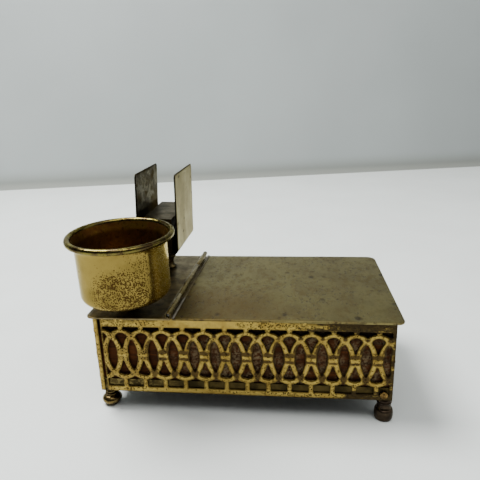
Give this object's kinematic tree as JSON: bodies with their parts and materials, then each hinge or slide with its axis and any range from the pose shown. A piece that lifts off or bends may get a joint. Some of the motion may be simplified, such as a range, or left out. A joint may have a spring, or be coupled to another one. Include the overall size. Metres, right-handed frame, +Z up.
{
  "type": "smoker's desk box",
  "caption": "Wood-lined desk box with pierced brass sides on turned feet, a hinged flat lid, a round cup and an upright matchbox holder on top.",
  "frame": {"origin": "on the surface that the feet stand on, under the middle of the whole object's bounding box", "axes": "+X along the box's length, from the cup's end to the free end of the lid; +Y from the cup to the matchbox holder; +Z up"},
  "size_m": [0.1392, 0.0876, 0.1001],
  "materials": {
    "gold_brass": "old polished brass with brown tarnish and pitting",
    "dull_brass": "tarnished brass, olive brown with darker streaks",
    "pale_brass": "dull pale brass sheet, lightly spotted",
    "steel": "dark hinge wire",
    "cedar": "thin reddish brown boards, unvarnished"
  },
  "bodies": {
    "case": {"gallery_front": "gold_brass", "gallery_back": "gold_brass", "gallery_right": "gold_brass", "gallery_left": "gold_brass", "rivet_front_right": "gold_brass", "rivet_back_right": "gold_brass", "bottom_tray": "dull_brass", "liner_floor": "cedar", "liner_front": "cedar", "liner_back": "cedar", "liner_left": "cedar", "liner_right": "cedar", "liner_partition": "cedar", "foot_front_left": "dull_brass", "foot_front_right": "dull_brass", "foot_back_left": "dull_brass", "foot_back_right": "dull_brass", "fixed_plate": "dull_brass", "hinge_leaf_fixed": "dull_brass", "hinge_pin": "steel", "cup": "gold_brass", "cup_spacer": "dull_brass", "cup_screw": "dull_brass", "cup_nut": "dull_brass", "holder_channel": "pale_brass", "match_seat": "dull_brass", "holder_pillar": "dull_brass", "holder_screw": "dull_brass", "holder_nut": "dull_brass"},
    "lid": {"lid_plate": "dull_brass", "hinge_leaf_lid": "dull_brass"}
  },
  "joints": [
    {"name": "lid_hinge", "type": "hinge", "parent": "case", "child": "lid", "pos_m": [-0.02403, 0.00358, 0.04895], "axis": [-0.0227, -0.9997, 0], "range_deg": [0, 91]}
  ]
}
